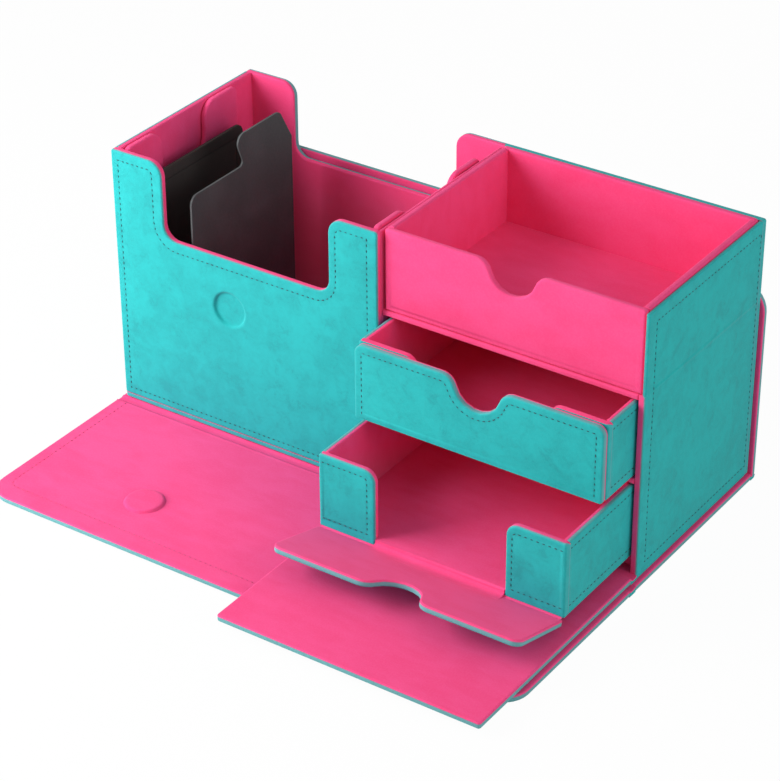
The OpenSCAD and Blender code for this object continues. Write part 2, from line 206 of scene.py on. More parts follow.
class Finish(Nodes):
    """One procedural material of this box."""

    def __init__(self, name, **constants):
        self.material = bpy.data.materials.new(name)
        self.material.use_nodes = True
        super().__init__(self.material.node_tree)
        self.shader = self.tree.nodes["Principled BSDF"]
        for socket, value in constants.items():
            self.shader.inputs[socket.replace("_", " ")].default_value = value
        self.place = self.node("ShaderNodeTexCoord", output="Object")

    def noise(self, scale, detail=3.0, rough=0.55, bend=0.0, place=None):
        sizes = {"Scale": scale, "Detail": detail, "Roughness": rough, "Distortion": bend}
        return self.node("ShaderNodeTexNoise", {}, {"Vector": place or self.place, **sizes})

    def turned(self, turn, stretch):
        """The piece's own place, turned and stretched."""
        values = {"Vector": self.place, "Rotation": turn, "Scale": stretch}
        return self.node("ShaderNodeMapping", {}, values)

    def ranged(self, value, low, high, to_low=0.0, to_high=1.0):
        ends = {"From Min": low, "From Max": high, "To Min": to_low, "To Max": to_high}
        smooth = {"interpolation_type": "SMOOTHSTEP"}
        return self.node("ShaderNodeMapRange", smooth, {"Value": value, **ends})

    def mix(self, share, first, second):
        colours = {0: share, 6: first, 7: second}
        return self.node("ShaderNodeMix", {"data_type": "RGBA"}, colours, output=2)

    def mark(self, name):
        """A mark that the piece's own mesh carries, from 0 to 1."""
        return self.node("ShaderNodeAttribute", {"attribute_name": name}, output="Fac")

    def set(self, socket, value):
        self.tree.links.new(value.socket, self.shader.inputs[socket])

    def relief(self, height, distance, strength):
        bump = {"Height": height, "Distance": distance, "Strength": strength}
        self.set("Normal", self.node("ShaderNodeBump", {}, bump))


def suede_leatherette():
    """Teal leatherette with a soft, clouded nap."""
    f = Finish("suede_leatherette", Sheen_Weight=0.12, Sheen_Roughness=0.5, Specular_IOR_Level=0.22)
    f.shader.inputs["Sheen Tint"].default_value = (0.7, 0.98, 0.97, 1)
    wide = f.noise(38, 3.0, 0.5, 0.6)
    cloud = f.noise(120, 4.0, 0.55, 0.9)
    crush = f.noise(360, 4.0, 0.6, 1.4)
    brushed = f.noise(1, 3.0, 0.55, 0.4, f.turned((0.35, 0.5, 0.6), (140, 420, 170)))
    mottle = wide * 0.25 + cloud * 0.4 + crush * 0.2 + brushed * 0.15
    fibre = f.noise(2400, 2.0, 0.6)
    rim, seam, crease = f.mark("rim"), f.mark("seam"), f.mark("crease")
    body = f.mix(f.ranged(mottle, 0.38, 0.62), linear("16A7A8"), linear("1FB7B7"))
    marked = f.mix(f.ranged(crush * cloud, 0.13, 0.2, 0.3, 0.0), body, linear("1A9599"))
    flecked = f.mix(f.ranged(fibre, 0.3, 0.7) * 0.12, marked, linear("44C6C3"))
    # The edge strip greys towards 84A2A9: partly wear, partly painted shade, pink bounce light and
    # sheen
    wear_and_painted_light = f.mix(rim * 0.6, flecked, linear("84A2A9"))
    # Painted shade: darker towards 14757A in the seams' sunk grooves and on the dimple's wall
    sewn = f.mix(seam * 0.12, wear_and_painted_light, linear("14757A"))
    f.set("Base Color", f.mix(crease * 0.7, sewn, linear("8F8CA2")))
    f.set("Roughness", f.ranged(mottle, 0.3, 0.7, 0.68, 0.82))
    f.relief(fibre * 0.6 + mottle * 0.9 + crush * 0.5, 0.00016, 0.45)
    return f.material


def microfibre(name, base, deep, light):
    """Short-napped lining cloth."""
    f = Finish(name, Sheen_Weight=0.12, Sheen_Roughness=0.45, Specular_IOR_Level=0.14)
    f.shader.inputs["Sheen Tint"].default_value = (1.0, 0.6, 0.8, 1)
    cloud = f.noise(34, 3.0, 0.5, 0.7)
    stroke = f.noise(1, 3.0, 0.55, 0.3, f.turned((0.2, 0.1, 0.9), (70, 210, 110)))
    nap = f.noise(1500, 3.0, 0.6)
    pile = f.noise(4200, 1.0, 0.5)
    rim, seam, crease = f.mark("rim"), f.mark("seam"), f.mark("crease")
    tone = f.mix(f.ranged(cloud * 0.5 + stroke * 0.5, 0.36, 0.64), linear(deep), linear(base))
    flecked = f.mix(f.ranged(nap, 0.35, 0.68) * 0.12, tone, linear(light))
    # A little lighter at the rim: wear and painted sheen
    wear_and_painted_light = f.mix(rim * 0.08, flecked, linear(light))
    # Painted shade: darker towards C4265F in the seams' sunk grooves and round the button's foot
    sewn = f.mix(seam * 0.25, wear_and_painted_light, linear("C4265F"))
    f.set("Base Color", f.mix(crease * 0.6, sewn, linear("A992A8")))
    f.set("Roughness", f.ranged(nap, 0.3, 0.7, 0.82, 0.92))
    f.relief(nap * 0.6 + pile * 0.4, 0.0001, 0.4)
    return f.material


def black_cloth_board():
    """Near-black napped board with a pressed border."""
    f = Finish("black_cloth_board", Sheen_Weight=0.05, Sheen_Roughness=0.5, Specular_IOR_Level=0.15)
    cloud = f.noise(60, 4.0, 0.6, 1.0)
    nap = f.noise(1900, 3.0, 0.75)
    rim, seam = f.mark("rim"), f.mark("seam")
    tone = f.mix(f.ranged(cloud, 0.35, 0.65), linear("302D2E"), linear("3A3637"))
    flecked = f.mix(f.ranged(nap, 0.4, 0.7) * 0.25, tone, linear("4A4647"))
    # Lighter towards 433E3B at the rim, and by the border's share all over: wear and painted sheen
    wear_and_painted_light = f.mix(rim, flecked, linear("433E3B"))
    # Painted shade: darker towards 151213 in the pressed line's groove
    f.set("Base Color", f.mix(seam * 0.5, wear_and_painted_light, linear("151213")))
    f.set("Roughness", f.ranged(nap, 0.3, 0.7, 0.8, 0.92))
    f.relief(nap * 0.8 + cloud * 0.5, 0.00012, 0.5)
    return f.material


def grey_sheet_plastic():
    """Dark grey sheet plastic, lightly textured by its rollers."""
    f = Finish("grey_sheet_plastic", Specular_IOR_Level=0.25)
    haze = f.noise(30, 3.0, 0.5, 0.4)
    roller = f.noise(900, 2.0, 0.6)
    scratch = f.noise(1, 2.0, 0.8, 0.0, f.turned((0.9, 0.0, 0.0), (30, 2600, 60)))
    rim = f.mark("rim")
    tone = f.mix(f.ranged(haze, 0.35, 0.65), linear("3A4344"), linear("464F50"))
    lit = f.mix(f.ranged(scratch, 0.62, 0.8) * 0.18, tone, linear("6B6869"))
    f.set("Base Color", f.mix(rim * 0.5, lit, linear("787577")))
    f.set("Roughness", f.ranged(roller, 0.3, 0.7, 0.62, 0.74))
    f.relief(roller, 0.00004, 0.35)
    return f.material


def thread(name, base, dark):
    """Sewing thread with its twist."""
    f = Finish(name, Sheen_Weight=0.2, Specular_IOR_Level=0.3)
    twist = {"Vector": f.place, "Scale": 1400.0, "Distortion": 1.0}
    ply = f.node("ShaderNodeTexWave", {"bands_direction": "DIAGONAL"}, twist)
    tone = f.mix(f.noise(60, 2.0), linear(dark), linear(base))
    f.set("Base Color", f.mix(ply * 0.4, tone, linear(dark)))
    f.set("Roughness", f.ranged(ply, 0.0, 1.0, 0.5, 0.7))
    f.relief(ply, 0.00005, 0.5)
    return f.material


def brushed_magnet():
    """Plated metal with a fine brushed grain."""
    f = Finish("plated_magnet", Metallic=1.0)
    grain = f.noise(1, 2.0, 0.7, 0.0, f.turned((0, 0, 0), (80, 80, 3000)))
    f.set("Base Color", f.mix(grain, linear("8E8F92"), linear("B4B5B8")))
    f.set("Roughness", f.ranged(grain, 0.3, 0.7, 0.28, 0.42))
    return f.material


SUEDE = suede_leatherette()
LINING = microfibre("pink_microfibre", "FB508D", "F84884", "FE7CAA")
BLACK = black_cloth_board()
GREY = grey_sheet_plastic()
TEAL_THREAD = thread("teal_thread", "167176", "0D4B50")
PINK_THREAD = thread("pink_thread", "E8447F", "C93068")
MAGNET = brushed_magnet()

# -------- wrapped boards


def unit(across, up):
    length = math.hypot(across, up)
    return across / length, up / length


class Outline:
    """A board's outline: (across, up, radius, wrap, seam) for a corner and the edge after it.

    wrap is how far the covering reaches over that edge: 0 where the edge butts against a
    neighbour, THROUGH where it covers the whole edge and LINED where the lining does.
    seam is how far inside that edge the stitches run, negative for a pressed line without
    thread and 0 for neither.
    """

    SHARPEST = 0.04
    STRAIGHT_RUN = 0.6

    def __init__(self, rows):
        self.rows = rows
        self.count = len(rows)
        area = sum(a[0] * b[1] - b[0] * a[1] for a, b in zip(rows, rows[1:] + rows[:1]))
        self.hand = 1 if area > 0 else -1

    def ring(self, insets):
        """Points all round, each edge moved in by its inset, and as many for any insets."""
        points = []
        for i, (across, up, radius, _, _) in enumerate(self.rows):
            before, after = self.rows[i - 1], self.rows[(i + 1) % self.count]
            e1 = unit(across - before[0], up - before[1])
            e2 = unit(after[0] - across, after[1] - up)
            n1 = (-e1[1] * self.hand, e1[0] * self.hand)
            n2 = (-e2[1] * self.hand, e2[0] * self.hand)
            d1, d2 = insets[i - 1], insets[i]
            cross = n1[0] * n2[1] - n1[1] * n2[0]
            if abs(cross) < 1e-6:
                for k in range(ARC_STEPS + 1):
                    run = self.STRAIGHT_RUN * (k / ARC_STEPS - 0.5)
                    moved = d1 + (d2 - d1) * k / ARC_STEPS
                    x = across + e1[0] * run + n1[0] * moved
                    points.append((x, up + e1[1] * run + n1[1] * moved))
                continue
            px = across + (d1 * n2[1] - d2 * n1[1]) / cross
            py = up + (d2 * n1[0] - d1 * n2[0]) / cross
            bulge = cross * self.hand
            moved = (d1 + d2) / 2
            r = max(self.SHARPEST, radius - moved) if bulge > 0 else radius + moved
            turn = math.acos(max(-1.0, min(1.0, e1[0] * e2[0] + e1[1] * e2[1])))
            tangent = r * math.tan(turn / 2)
            side = 1 if bulge > 0 else -1
            cx = px - e1[0] * tangent + n1[0] * side * r
            cy = py - e1[1] * tangent + n1[1] * side * r
            for k in range(ARC_STEPS + 1):
                a = turn * k / ARC_STEPS * self.hand * side
                cos, sin = math.cos(a), math.sin(a)
                x, y = -n1[0] * side * r, -n1[1] * side * r
                points.append((cx + x * cos - y * sin, cy + x * sin + y * cos))
        return points

    def per_point(self, values):
        """The edges' values at the ring's points; a corner's points run from one to the next."""
        out = []
        for i in range(self.count):
            for k in range(ARC_STEPS + 1):
                t = k / ARC_STEPS
                out.append(values[i - 1] * (1 - t) + values[i] * t)
        return out

    def sewn(self):
        """For each ring point, whether the stretch to the next point is stitched."""
        flags = []
        for i in range(self.count):
            both = self.rows[i - 1][4] > 0 and self.rows[i][4] > 0
            flags += [both] * ARC_STEPS + [self.rows[i][4] > 0]
        return flags


def plane(kind, outer, inward):
    """Where a board lies: its kind of plane, its outer face and which way its thickness grows."""
    order = {"xz": (0, 2, 1), "yz": (1, 2, 0), "xy": (0, 1, 2)}[kind]

    def put(across, up, deep):
        p = [0.0, 0.0, 0.0]
        p[order[0]], p[order[1]], p[order[2]] = across, up, outer + inward * deep
        return Vector(p)

    return put


def edge_profile(radius, thick, back_radius, wraps, plain):
    """Rows round the edge from the outer to the inner face.

    Each gives the insets and the depths of all edges, then its marks for rim and crease.
    """
    if plain:
        wraps = [thick / 2 if w else 0.0 for w in wraps]
    flat = [0.0] * len(wraps)
    front = [0.0 if w == 0 else LINED_LIP if w == LINED else radius for w in wraps]
    back = [back_radius if LINED <= w < thick and w != 0 else 0.0 for w in wraps]
    split = [LINED_LIP if w == LINED else thick if w > thick else w or thick * 0.5 for w in wraps]
    rows = [([r + FACE_ROW if w else 0.0 for r, w in zip(front, wraps)], flat, 0.0, 0.0)]
    for a in QUARTER:
        insets = [r * (1 - math.sin(a)) for r in front]
        depths = [r * (1 - math.cos(a)) for r in front]
        rows.append((insets, depths, math.sin(a) ** 4, 0.0))
    for before, crease in ((CREASE_BEFORE, 0.0), (CREASE_HALF, 1.0)):
        rows.append((flat, [max(s - before, r) for s, r in zip(split, front)], 1.0, crease))
    dip = [CREASE_DIP if 0 < w < thick and not plain else 0.0 for w in wraps]
    rows.append((dip, split, 0.6, 1.0))
    rows.append((flat, [min(s + CREASE_HALF, thick) for s in split], 0.3, 1.0))
    beyond = [min(s + CREASE_AFTER, thick - b) if s < thick else thick for s, b in zip(split, back)]
    rows.append((flat, beyond, 0.3, 0.0))
    for a in QUARTER:
        insets = [b * (1 - math.cos(a)) for b in back]
        depths = [thick - b * (1 - math.sin(a)) for b in back]
        rows.append((insets, depths, 0.3 * math.cos(a), 0.0))
    rows.append(([b + BACK_ROW if b else 0.0 for b in back], [thick] * len(wraps), 0.0, 0.0))
    return [(insets, depths, rim, 0.0 if plain else crease) for insets, depths, rim, crease in rows]


SEWN_ROWS = {}


def sew(body, colour, points, flags):
    """Keeps a row of stitches for its body; the rows are made once all boards are there."""
    SEWN_ROWS.setdefault((body, colour), []).append((points, flags))


def finish_piece(name, verts, faces, body, slot, materials, marks, replaces=()):
    """A mesh in millimetres made into a piece that rides on its body.

    A face is its points, the number of its finish and, where it is flat, "flat".
    """
    mesh = bpy.data.meshes.new(name)
    mesh.from_pydata([v * MM for v in verts], [], [f[0] for f in faces])
    for m in materials:
        mesh.materials.append(m)
    for polygon, face in zip(mesh.polygons, faces):
        polygon.material_index = face[1]
        polygon.use_smooth = len(face) == 2
    for key in MARKS:
        attribute = mesh.attributes.new(key, "FLOAT", "POINT")
        attribute.data.foreach_set("value", marks.get(key, [0.0] * len(verts)))
    b = bmesh.new()
    b.from_mesh(mesh)
    bmesh.ops.remove_doubles(b, verts=b.verts, dist=1e-7)
    bmesh.ops.recalc_face_normals(b, faces=b.faces)
    b.to_mesh(mesh)
    b.free()
    mesh.set_sharp_from_angle(angle=CRISP_ANGLE)
    piece = added(name, mesh)
    if replaces:
        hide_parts(*replaces)
    if body:
        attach(piece, body)
    return piece


def seam_line(wrap, seam):
    """How far inside its edge a seam runs, or where nothing is sewn its row of points."""
    return abs(seam) if seam else UNSEWN_ROW.get(wrap, OTHER_UNSEWN_ROW)


def board(
    name,
    body,
    rows,
    put,
    thick,
    replaces=(),
    slot=TEAL,
    radius=0.8,
    back_radius=0.55,
    cover=SUEDE,
    lining=LINING,
    inner_seam=False,
    dimple=None,
    turn=None,
    seam_depth=SEAM_DEPTH,
    border=0.0,
):
    """A stiff board: its covering pulled round the wrapped edges, its lining and its seams."""
    outline = Outline(rows)
    wraps = [row[3] for row in rows]
    seams = [seam_line(wrap, seam) for *_, wrap, seam in rows]
    pressed = outline.per_point([1.0 if row[4] else 0.0 for row in rows])
    wear_and_painted_light = outline.per_point([RIM_WEAR_AND_LIGHT.get(wrap, 1.0) for wrap in wraps])
    verts, rings = [], []
    marks = {key: [] for key in MARKS}

    def add(insets, depths, rim=0.0, seam=0.0, sink=0.0, crease=0.0):
        start = len(verts)
        spread = outline.per_point(depths if isinstance(depths, list) else [depths] * len(rows))
        for (across, up), deep, press, edge_rim in zip(outline.ring(insets), spread, pressed, wear_and_painted_light):
            verts.append(put(across, up, deep + sink * press))
            for key, value in zip(MARKS, (max(rim * edge_rim, border), seam * press, crease)):
                marks[key].append(value)
        rings.append(start)
        return verts[start:]

    def seam_rows(across, depth, sink):
        """The rows across the seams; returns the one on their line."""
        made = {}
        for by, share in across:
            made[by] = add([s + by for s in seams], depth, seam=share, sink=sink * share)
        return made[0.0]

    outer_row = seam_rows(SEAM_ROWS, 0.0, seam_depth)
    margins = [radius + RIM_MARGIN if w else 0.0 for w in wraps]
    add([max(s - SEAM_HALF, margin) for s, margin in zip(seams, margins)], 0.0)
    profile = edge_profile(radius, thick, back_radius, wraps, cover is lining)
    for insets, depths, rim, crease in profile:
        add(insets, depths, rim=rim, crease=crease)
    lined_from = len(rings) - len(profile) + CREASE_ROW
    if inner_seam:
        inner_row = seam_rows(INNER_SEAM_ROWS, thick, -seam_depth)
    size = len(pressed)
    faces = bands(rings[: lined_from + 1], size) + bands(rings[lined_from:], size, 1)
    faces += cap(verts, rings[0], size, dimple, put, marks)
    faces.append((tuple(rings[-1] + k for k in range(size)), 1, "flat"))
    flags = outline.sewn()
    if any(flags):
        sew(body, "pink" if slot == PINK else "teal", turned(turn, outer_row), flags)
        if inner_seam:
            sew(body, "pink", turned(turn, inner_row), flags)
    finish_piece(name, turned(turn, verts), faces, body, slot, (cover, lining), marks, replaces)


def turned(turn, points):
    """Points moved by a turn, where there is one."""
    return [turn @ v for v in points] if turn else points


# A pressed dimple from rim to middle: how far outside its radius, its share of the depth, its mark
# of painted shade
DIMPLE = (
    (1.5, 0.0, 0.0),
    (1.2, 0.0, 0.0),
    (0.8, 0.03, 0.0),
    (0.45, 0.12, 0.0),
    (0.18, 0.3, 0.1),
    (0.0, 0.52, 0.3),
    (-0.15, 0.72, 0.5),
    (-0.35, 0.88, 0.5),
    (-0.65, 0.97, 0.2),
    (-1.1, 1.0, 0.0),
    (-1.5, 1.0, 0.0),
)


def circle(radius):
    """The points of a circle, as (across, up)."""
    angles = [2 * math.pi * k / ROUND_STEPS for k in range(ROUND_STEPS)]
    return [(radius * math.cos(a), radius * math.sin(a)) for a in angles]


def bands(starts, size, finish=0):
    """The smooth faces between rings of size points, which begin at the numbers in starts."""
    steps = [(k, (k + 1) % size) for k in range(size)]
    pairs = zip(starts, starts[1:])
    return [((a + k, a + n, b + n, b + k), finish) for a, b in pairs for k, n in steps]


def cap(verts, first, size, dimple, put, marks):
    """The flat middle of a face, with a round dimple pressed into it where one is wanted."""
    if not dimple:
        return [(tuple(first + k for k in range(size)), 0, "flat")]
    across, up, radius, depth = dimple
    starts = []
    for grow, share, mark in DIMPLE:
        starts.append(len(verts))
        for x, y in circle(radius + grow):
            verts.append(put(across + x, up + y, depth * share))
            # The dimple's mark goes in as the seam mark: painted shade on its wall
            for key, value in zip(MARKS, (0.0, mark, 0.0)):
                marks[key].append(value)
    faces = bands(starts, ROUND_STEPS)
    faces.append((tuple(starts[-1] + k for k in range(ROUND_STEPS)), 0, "flat"))
    loops = [list(range(first, first + size)), list(range(starts[0], starts[0] + ROUND_STEPS))]
    joined = [i for loop in loops for i in loop]
    for triangle in tessellate_polygon([[verts[i] for i in loop] for loop in loops]):
        faces.append((tuple(joined[i] for i in triangle), 0, "flat"))
    return faces


def notch_rows(middle, top, wrap, seam, bottom_r=10.0, shoulder_r=6.0, depth=11.6):
    """The corners of a finger notch: its right shoulder, the round bottom and its left shoulder."""
    rise = bottom_r + shoulder_r - depth
    reach = math.sqrt((bottom_r + shoulder_r) ** 2 - rise**2)
    tx = bottom_r * reach / (bottom_r + shoulder_r)
    tz = bottom_r - depth - bottom_r * rise / (bottom_r + shoulder_r)
    slope = reach / rise
    shoulder = tx - tz / slope
    low = tz - slope * tx
    return [
        (middle + shoulder, top, shoulder_r, wrap, seam),
        (middle, top + low, bottom_r, wrap, seam),
        (middle - shoulder, top, shoulder_r, wrap, seam),
    ]


def box_rows(low_a, low_b, high_a, high_b, edges, radii=(0.5, 0.5, 0.5, 0.5)):
    """A four-cornered outline; edges are (wrapped, seam) for the low, right, top and left edge."""
    corners = [(low_a, low_b), (high_a, low_b), (high_a, high_b), (low_a, high_b)]
    return [(a, b, r, w, s) for (a, b), r, (w, s) in zip(corners, radii, edges)]


# -------- the case

case_low, case_high = span("case_left")[0], span("case_right")[1]
X0, X1 = case_low[0], case_high[0]
Y0, Y1 = span("case_front")[0][1], span("case_back")[1][1]
FOOT, BASE_TOP = span("case_base")[0][2], span("case_base")[1][2]
TOP = case_high[2]
WALL = span("lining_left")[1][0] - X0
BAY_END = span("case_front")[1][0]
CABINET_FRONT = span("case_right")[0][1]
INNER_X0, INNER_X1 = X0 + WALL, X1 - WALL
INNER_Y0, INNER_Y1 = Y0 + WALL, Y1 - WALL
MAGNET_X, _, MAGNET_Z = centre("case_magnet")
DIMPLE_R, DIMPLE_DEPTH = 7.3, 1.12
SHELF_TOP = span("shelf_upper")[1][2]
OPEN_EDGE = (THROUGH, 5.0)
TRAY_GAP = 0.4
TRAY_WALL = X1 - span("tray_floor")[1][0] - TRAY_GAP

# The step cut into the front and back wall: its left, its right, its floor and its corners' radius
HORN, TAB, VALLEY, CUT_R = -94.6, -15.9, 82.4, 6.2


def stepped_rows(wrap, horn_wrap, end_r):
    """The upper corners of a wall with the step, from the end of the bay to the left."""
    return [
        (BAY_END, TOP, end_r, wrap, 3.8),
        (TAB, TOP, CUT_R, wrap, 3.2),
        (TAB, VALLEY, CUT_R, wrap, 4.2),
        (HORN, VALLEY, CUT_R, horn_wrap, 4.6),
        (HORN, TOP, CUT_R, wrap, 4.0),
        (X0, TOP, 1.0, THROUGH, 3.2),
    ]


board(
    "front_wall",
    "case",
    [
        (X0, BASE_TOP, 0.8, CASE_WRAP, 3.0),
        (BAY_END, BASE_TOP, 0.8, CASE_WRAP, 4.6),
        *stepped_rows(CASE_WRAP, CASE_WRAP, 1.3),
    ],
    plane("xz", Y0, 1),
    WALL,
    replaces=("case_front", "lining_front"),
    radius=0.7,
    dimple=(MAGNET_X, MAGNET_Z, DIMPLE_R, DIMPLE_DEPTH),
)
board(
    "back_wall",
    "case",
    [
        (X0, FOOT, 0.8, THROUGH, 5.0),
        (X1, FOOT, 0.8, THROUGH, 3.4),
        (X1, TOP, 1.0, THROUGH, 3.8),
        *stepped_rows(BAY_WRAP, HORN_WRAP, 0.5),
    ],
    plane("xz", Y1, -1),
    WALL,
    replaces=("case_back", "lining_back", "lining_cabinet_back"),
    radius=0.7,
)
board(
    "left_wall",
    "case",
    box_rows(INNER_Y0, FOOT, INNER_Y1, TOP, [OPEN_EDGE, (0, 1.4), (BAY_WRAP, 4.6), (0, 1.4)]),
    plane("yz", X0, 1),
    WALL,
    replaces=("case_left", "lining_left"),
    radius=0.7,
)
board(
    "right_wall",
    "case",
    box_rows(CABINET_FRONT, FOOT, INNER_Y1, SHELF_TOP, [OPEN_EDGE, (0, 0.8), (0, 0), (0.65, 5.6)]),
    plane("yz", X1, -1),
    WALL,
    replaces=("case_right", "lining_right"),
    radius=0.5,
)
board(
    "right_wall_beside_tray",
    "case",
    box_rows(
        CABINET_FRONT, SHELF_TOP, INNER_Y1, TOP, [(0, 0), (0, 0.8), OPEN_EDGE, (THROUGH, 5.6)]
    ),
    plane("yz", X1, -1),
    TRAY_WALL,
    radius=0.5,
)
board(
    "base_board",
    "case",
    [
        (X0, Y0, 1.2, THROUGH, 0),
        (BAY_END, Y0, 0.8, THROUGH, 0),
        (BAY_END, CABINET_FRONT, 0.2, LINED, 0),
        (INNER_X1, CABINET_FRONT, 0.3, 0, 0),
        (INNER_X1, INNER_Y1, 0.3, 0, 0),
        (INNER_X0, INNER_Y1, 0.3, 0, 0),
        (INNER_X0, INNER_Y0, 0.3, 0, 0),
        (X0, INNER_Y0, 0.3, THROUGH, 0),
    ],
    plane("xy", FOOT, 1),
    BASE_TOP - FOOT,
    replaces=("case_base",),
    radius=0.5,
    back_radius=0.4,
)


def pink_board(name, body, rows, put, thick, replaces, radius=0.7):
    """A board in lining cloth all round."""
    radii = dict(radius=radius, back_radius=radius)
    board(name, body, rows, put, thick, replaces, slot=PINK, cover=LINING, **radii)


(px0, py0, pz0), (px1, _, pz1) = span("partition")
pink_board(
    "bay_partition",
    "case",
    box_rows(py0, pz0, INNER_Y1, pz1, [(0, 0), (0, 0), (1, 0), (1, 0)], (0.3, 0.3, 0.8, 1.0)),
    plane("yz", px0, 1),
    px1 - px0,
    ("partition",),
)
for shelf in ("shelf_lower", "shelf_upper", "plinth"):
    (sx0, sy0, sz0), (sx1, sy1, sz1) = span(shelf)
    pink_board(
        "cabinet_" + shelf,
        "case",
        box_rows(sx0, sy0, sx1, sy1, [(1, 0), (0, 0), (0, 0), (0, 0)], (0.9, 0.9, 0.3, 0.3)),
        plane("xy", sz0, 1),
        sz1 - sz0,
        (shelf,),
        radius=0.8,
    )

# -------- the cover

(cx0, cy0, _), (cx1, cy1, _) = span("cover_panel")
COVER_TOP = span("cover_panel_lining")[1][2]

# The far and side edges of the cover's flaps, and their round far corners
FAR, SIDE, FAR_R = (COVER_WRAP, 8.0), (COVER_WRAP, 5.0), 10.5

board(
    "cover_panel_board",
    "cover",
    box_rows(cx0, cy0, cx1, cy1, [(0, 0), (COVER_WRAP, 4.0), (0, 0), (COVER_WRAP, 4.0)]),
    plane("xy", 0.0, 1),
    COVER_TOP,
    replaces=("cover_panel", "cover_panel_lining"),
)
(fx0, fy0, _), (fx1, fy1, _) = span("cover_front_board")
board(
    "front_flap_board",
    "cover_front_flap",
    box_rows(fx0, fy0, fx1, fy1, [FAR, SIDE, (0, 0), SIDE], (FAR_R, FAR_R, 0.4, 0.4)),
    plane("xy", 0.0, 1),
    COVER_TOP,
    replaces=("cover_front_board", "cover_front_lining"),
    inner_seam=True,
)
(bx0, _, bz0), (bx1, by1, bz1) = span("cover_back_board")
board(
    "back_flap_board",
    "cover_back_flap",
    box_rows(bx0, bz0, bx1, bz1, [(0, 0), SIDE, FAR, SIDE], (0.4, 0.4, FAR_R, FAR_R)),
    plane("xz", by1, -1),
    COVER_TOP,
    replaces=("cover_back_board", "cover_back_lining"),
    inner_seam=True,
)

# The lined magnet from foot to middle: how far outside its radius, how high up, its seam mark of
# painted shade round its foot
BUTTON = (
    (0.8, 2.5, 0.0),
    (0.65, 2.82, 0.5),
    (0.45, 2.95, 0.4),
    (0.25, 3.2, 0.2),
    (0.05, 3.5, 0.1),
    (-0.2, 3.73, 0.0),
    (-0.6, 3.87, 0.0),
    (-1.2, 3.93, 0.0),
    (-1.8, 3.95, 0.0),
)


def button():
    """The lined magnet that stands a little above the front flap."""
    low, high = span("cover_button")
    across, along, _ = centre("cover_button")
    verts, seam = [], []
    for grow, up, mark in BUTTON:
        ring = circle((high[0] - low[0]) / 2 + grow)
        verts += [Vector((across + x, along + y, up)) for x, y in ring]
        # The seam mark here is painted shade round the button's foot
        seam += [mark] * ROUND_STEPS
    faces = bands(range(0, len(verts), ROUND_STEPS), ROUND_STEPS)
    faces.append((tuple(range(ROUND_STEPS)), 0, "flat"))
    faces.append((tuple(range(len(verts) - ROUND_STEPS, len(verts))), 0, "flat"))
    looks = ("cover_front_flap", PINK, (LINING,), {"seam": seam})
    finish_piece("lined_button", verts, faces, *looks, replaces=("cover_button",))


button()

# -------- the door

(dx0, dy0, dz0), (dx1, dy1, _) = span("door_board")
DOOR_EDGE = (COVER_WRAP, 4.2)
DOOR_TOP = span("door_lining")[1][2]
board(
    "cabinet_door",
    "door",
    box_rows(dx0, dy0, dx1, dy1, [DOOR_EDGE, DOOR_EDGE, (0, 0), DOOR_EDGE], (1.2, 1.2, 0.4, 0.4)),
    plane("xy", dz0, 1),
    DOOR_TOP - dz0,
    replaces=("door_board", "door_lining"),
)

# -------- the tray

(tx0, ty0, tz0), (tx1, ty1, _) = span("tray_floor")
TRAY_TOP = span("tray_back")[1][2]
TRAY_T = span("tray_floor")[1][2] - tz0


def tray_part(name, rows, put, nodes=(), radius=0.9):
    """One board of the tray."""
    pink_board("tray_" + name, "tray", rows, put, TRAY_T, nodes, radius)


front = [(tx0, tz0, 0.8, 1, -2.2), (tx1, tz0, 0.8, 1, 0), (tx1, TRAY_TOP, 1.2, 1, 0)]
front += notch_rows((tx0 + tx1) / 2, TRAY_TOP, 1, 0) + [(tx0, TRAY_TOP, 1.2, 1, 0)]
tray_part("front_board", front, plane("xz", ty0, 1), ("tray_front",))
back = box_rows(tx0, tz0, tx1, TRAY_TOP, [(1, 0)] * 4, (0.8, 0.8, 1.2, 1.2))
tray_part("back_board", back, plane("xz", ty1, -1), ("tray_back",))
side = box_rows(ty0 + TRAY_T, tz0, ty1 - TRAY_T, TRAY_TOP, [(1, 0), (0, 0)] * 2)
tray_part("side_left", side, plane("yz", tx0, 1), ("tray_sides",))
tray_part("side_right", side, plane("yz", tx1, -1))
bottom = box_rows(tx0 + TRAY_T, ty0 + TRAY_T, tx1 - TRAY_T, ty1 - TRAY_T, [(0, 0)] * 4)
tray_part("bottom", bottom, plane("xy", tz0, 1), ("tray_floor",), radius=0.7)

# -------- drawers and their flaps

DRAWER_T = 2.8
TAB_W = 25.0
LOWER_FLAP_OPEN = 74.0

# A drop front's room beside its drawer, and its height
FLAP_ROOM = 0.3
FLAP_HEIGHT = {"upper": 31.9, "lower": 31.3}


